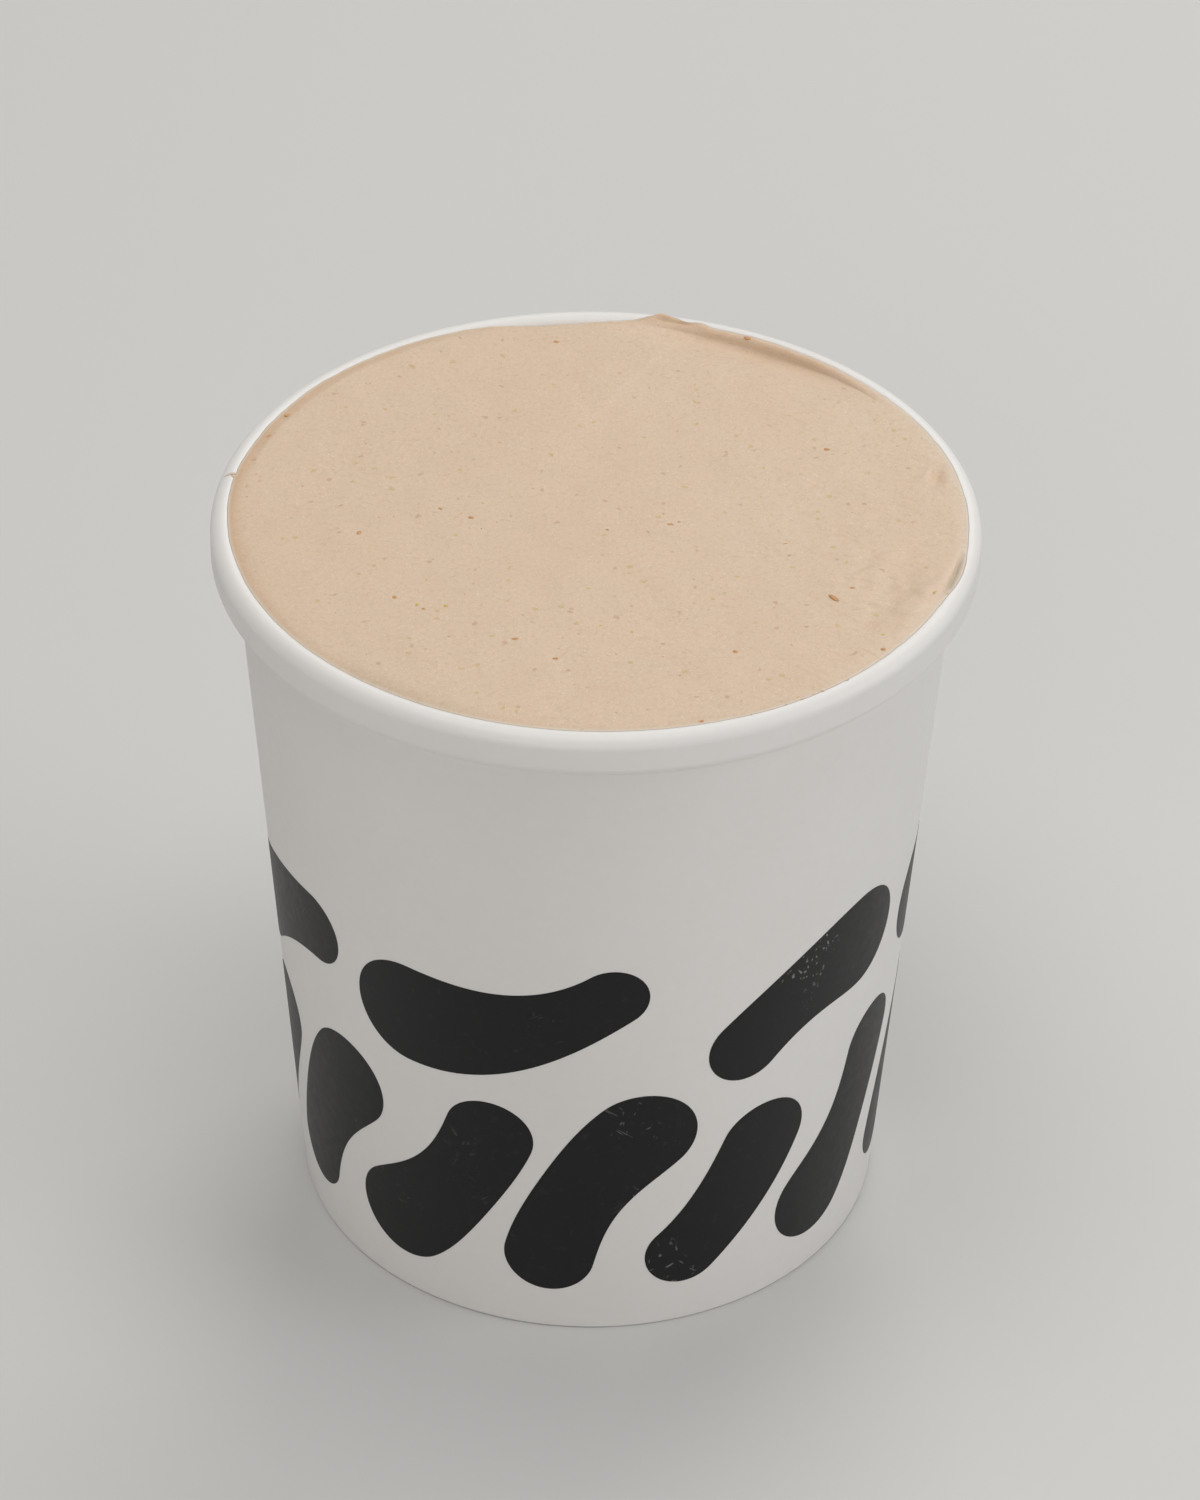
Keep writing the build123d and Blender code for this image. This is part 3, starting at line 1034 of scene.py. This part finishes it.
flecks = {
    # chosen ones: x, y, size, turn; density is how many others lie in a square millimetre
    "kinds": {
        "rustFleck": {
            "light": (0.60, 0.310, 0.110), "dark": (0.51, 0.225, 0.065), "roughness": 0.42,
            "chosen": [
                (17.1, -29.7, 1, -34), (29.2, -18.2, 1.55, -50), (-4.7, -31.6, 0.95, 12),
                (-9.6, -27.9, 0.85, 0), (-29.4, -5.6, 0.8, 70), (9.3, -2.9, 1, -8),
                (-15.6, -1.8, 0.75, 5), (-19.5, 0.1, 0.6, -50), (-24.5, -19.5, 0.7, 75),
                (-5.5, 39.2, 0.8, 0), (12.9, -43.8, 0.65, 20), (-39.6, 21, 0.95, 10),
                (-41.7, 16.1, 0.65, 35), (19.4, 41, 1.1, -15), (10.3, -2.3, 0.45, 60),
                (31.5, -15.9, 0.65, 40), (34.9, -28.7, 0.85, 15), (29.1, 14.7, 0.78, 0),
                (23.5, -6.5, 0.5, 20), (-20.8, -21.9, 0.5, -30), (1.4, -4.2, 0.55, -50)],
            "density": 0.007, "smallest": 0.16, "largest": 0.36, "seed": 3,
        },
        "amberFleck": {
            "light": (0.62, 0.47, 0.11), "dark": (0.57, 0.39, 0.07), "roughness": 0.45,
            "chosen": [(-21.7, -20.9, 0.75, 80), (-18.2, -21.1, 0.75, -60),
                       (35, -25.8, 0.5, 0), (41.6, -17, 0.7, 60)],
            "density": 0.010, "smallest": 0.16, "largest": 0.40, "seed": 5,
        },
        "paleFleck": {
            "light": (0.62, 0.46, 0.30), "dark": (0.54, 0.38, 0.24), "roughness": 0.5,
            "chosen": [(24, -9, 0.7, 25)],
            "density": 0.018, "smallest": 0.18, "largest": 0.48, "seed": 8,
        },
    },
    # stretch along x, y and z, least and most
    "least": (0.75, 0.32, 0.11),
    "most": (1.25, 0.75, 0.18),
    "tilt": 0.12,
    "roughScale": 2600.0,
    "roughDepth": (0.00025, 0.00025, 0.00004),
    # how far out the scattered ones go, and the half width of the grid they lie on
    "border": 43.6,
    "reach": 44,
    # noises of the colour, in a fleck and between them: scale, detail, roughness
    "noises": [(2200.0, 3.0, 0.6), (160.0, 1.0, 0.5)],
    "depth": 0.00003,
}


def makeFleckMaterial(name):
    look = flecks["kinds"][name]
    material, tree = newMaterial(name)
    place = objectPlace(tree)
    patchy, between = (noise(tree, place, *row) for row in flecks["noises"])
    colour = tree.mix(patchy.ease(0.3, 0.7), look["dark"], look["light"])
    colour = tree.mix(between.ease(0.35, 0.7) * 0.5, colour, look["light"])
    finishMaterial(tree, {
        "Base Color": colour, "Roughness": look["roughness"],
        "Subsurface Weight": 0.1, "Subsurface Radius": (1.0, 0.5, 0.3),
        "Subsurface Scale": 0.0005,
        "Normal": bump(tree, patchy, 0.5, flecks["depth"])})
    return material


def makeFleckTree():
    group, tree, given = newGeometryTree("scatteredFlecks", [
        ("Given Points", "Bool"), ("Density", "Float"), ("Smallest", "Float"),
        ("Largest", "Float"), ("Spin", "Float"), ("Seed", "Int"), ("Material", "Material")])

    def chance(low, high, later, kind):
        values = {"Min": low, "Max": high, "Seed": given["Seed"] + later}
        return tree.add("FunctionNodeRandomValue", values, "Value", data_type=kind)

    scattered = tree.add("GeometryNodeDistributePointsOnFaces", {
        "Mesh": given["Geometry"], "Density": given["Density"], "Seed": given["Seed"]},
        "Points", distribute_method="RANDOM")
    share = chance(0.0, 1.0, 1, "FLOAT")
    drawn = given["Smallest"] + (given["Largest"] - given["Smallest"]) * share * share
    sized = storeNodes(tree, scattered, "size", drawn)
    placed = tree.add("GeometryNodeMeshToPoints", {"Mesh": given["Geometry"]})
    points = tree.add("GeometryNodeSwitch", {
        "Switch": given["Given Points"], "False": sized, "True": placed}, input_type="GEOMETRY")
    crumb = tree.add("GeometryNodeMeshIcoSphere", {"Radius": 0.5, "Subdivisions": 2}, "Mesh")
    size, turn = storedValue(tree, "size"), storedValue(tree, "turn")
    shape = chance(flecks["least"], flecks["most"], 2, "FLOAT_VECTOR")
    lean = flecks["tilt"]
    tilt = chance((-lean, -lean, 0.0), tree.combine(lean, lean, given["Spin"]), 3,
                  "FLOAT_VECTOR")
    tilt = tree.vector("ADD", tilt, tree.combine(0.0, 0.0, turn))
    copies = tree.add("GeometryNodeInstanceOnPoints", {
        "Points": points, "Instance": crumb, "Rotation": tilt,
        "Scale": tree.vector("SCALE", shape, size)})
    rough = noise(tree, position(tree), flecks["roughScale"], 1.0, 0.5, "Color")
    push = tree.vector("MULTIPLY", tree.vector("SUBTRACT", rough, (0.5, 0.5, 0.5)),
                       flecks["roughDepth"])
    endTree(tree, moved(tree, realize(tree, copies), push, "Offset"), given["Material"])
    return group


def makeFlecks(group, name):
    f = flecks["kinds"][name]
    shared = {"Seed": f["seed"], "Material": makeFleckMaterial(name)}
    x, y, size, turn = np.array(f["chosen"]).T
    host = meshObject(name + "Places", np.column_stack([x, y, skinHeight(x, y)]) * mm)
    storeValues(host, {"size": size * mm, "turn": np.radians(turn)})
    placed = runTree(name + "Chosen", host, group,
                     {"Given Points": True, "Spin": 0.0, **shared})
    # the others are scattered on a grid of the surface
    step = np.arange(-flecks["reach"], flecks["reach"] + 1.0)
    x, y = np.meshgrid(step, step)
    points = np.column_stack([x.ravel(), y.ravel(), skinHeight(x, y).ravel()]) * mm
    width = len(step)
    keep = np.hypot(x + 0.5, y + 0.5) < flecks["border"]
    faces = [(r * width + c, r * width + c + 1, (r + 1) * width + c + 1, (r + 1) * width + c)
             for r in range(width - 1) for c in range(width - 1) if keep[r, c]]
    piece = runTree(name, meshObject(name + "Ground", points, faces), group, {
        "Given Points": False, "Density": f["density"] / mm ** 2,
        "Smallest": f["smallest"] * mm, "Largest": f["largest"] * mm,
        "Spin": 2 * math.pi, **shared})
    joinPieces(piece, [placed])
    return tidyMesh(piece, join=1e-7)


fleckTree = makeFleckTree()
for fleckName in flecks["kinds"]:
    fleckPiece = makeFlecks(fleckTree, fleckName)
    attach(fleckPiece, "root")
print("flecks made")


# floor, light and camera

studio = {
    "floor": (0.64, 0.632, 0.62),
    "floorMottle": (0.60, 0.592, 0.584),
    "floorHalf": 3.0,
    "backdrop": (0.62, 0.615, 0.605),
    # the far floor glows a little, so that it meets the backdrop without a dark band
    "farGlow": (0.42, 0.415, 0.41),
    "glowGrows": (0.5, 2.2),
    "sky": (1.0, 0.985, 0.965),
    "skyStrength": 0.33,
    # name: place, aim, width, power, colour
    "lamps": {
        "backWindow": ((0.35, 1.05, 0.95), (0.0, 0.0, 0.07), 1.0, 6.2, (1.0, 0.985, 0.965)),
        "overhead": ((-0.10, -0.10, 1.3), (0.0, 0.0, 0.05), 1.0, 5.4, (1.0, 0.99, 0.975)),
        "rightFill": ((1.1, -0.25, 0.55), (0.0, 0.0, 0.06), 0.7, 3.6, (0.97, 0.985, 1.0)),
        "frontFill": ((-0.4, -1.5, 0.7), (0.0, 0.0, 0.05), 1.2, 4.5, (1.0, 0.99, 0.98)),
    },
}


def makeStudio():
    material, tree = newMaterial("paleFloor")
    mottle = noise(tree, objectPlace(tree), 3.0, 2.0)
    colour = tree.mix(mottle * 0.3, studio["floor"], studio["floorMottle"])
    far = tree.vector("LENGTH", objectPlace(tree)).ease(*studio["glowGrows"])
    glow = tree.mix(far, (0.0, 0.0, 0.0), studio["farGlow"])
    finishMaterial(tree, {"Base Color": colour, "Roughness": 0.6, "Emission Color": glow,
                          "Emission Strength": 1.0})
    half = studio["floorHalf"]
    floor = meshObject("floor", [(-half, -half, 0), (half, -half, 0), (half, half, 0),
                                 (-half, half, 0)], [(0, 1, 2, 3)])
    floor.data.materials.append(material)
    world = bpy.data.worlds.new("softRoom")
    bpy.context.scene.world = world
    world.use_nodes = True
    world.node_tree.nodes.clear()
    sky = NodeTree(world.node_tree)
    glow = sky.add("ShaderNodeBackground", {"Color": studio["sky"],
                                                "Strength": studio["skyStrength"]})
    plain = sky.add("ShaderNodeBackground", {"Color": studio["backdrop"], "Strength": 1.0})
    seen = sky.add("ShaderNodeLightPath", {}, "Is Camera Ray")
    mixed = sky.add("ShaderNodeMixShader", {0: seen, 1: glow, 2: plain})
    sky.add("ShaderNodeOutputWorld", {"Surface": mixed})
    for name, (place, aim, width, power, colour) in studio["lamps"].items():
        lamp = bpy.data.lights.new(name, "AREA")
        lamp.shape = "DISK"
        lamp.size = width
        lamp.energy = power
        lamp.color = colour
        holder = newObject(name, lamp)
        holder.location = place
        look = Vector(aim) - Vector(place)
        holder.rotation_euler = look.to_track_quat("-Z", "Y").to_euler()


# aimHeight and slide centre the view
camera = {
    "distance": 0.73381,
    "elevation": 36.57,
    "roll": 0.84,
    "aimHeight": 0.0512,
    "slide": (0.00106, 0.011435),
    "lens": 135.06,
    "sensor": 36.0,
}


def makeCamera():
    c = camera
    rise, roll = math.radians(c["elevation"]), math.radians(c["roll"])
    back = Vector((0, -math.cos(rise), math.sin(rise)))
    right = Vector((1, 0, 0))
    up = Vector((0, math.sin(rise), math.cos(rise)))
    across = right * math.cos(roll) + up * math.sin(roll)
    above = up * math.cos(roll) - right * math.sin(roll)
    place = Vector((0, 0, c["aimHeight"])) + back * c["distance"]
    place += across * c["slide"][0] + above * c["slide"][1]
    data = bpy.data.cameras.new("camera")
    data.lens = c["lens"]
    data.sensor_width = c["sensor"]
    holder = newObject("camera", data)
    matrix = Matrix((across, above, back)).transposed().to_4x4()
    matrix.translation = place
    holder.matrix_world = matrix
    bpy.context.scene.camera = holder


makeStudio()
makeCamera()
bpy.context.scene.view_settings.view_transform = "Standard"
print("studio made")
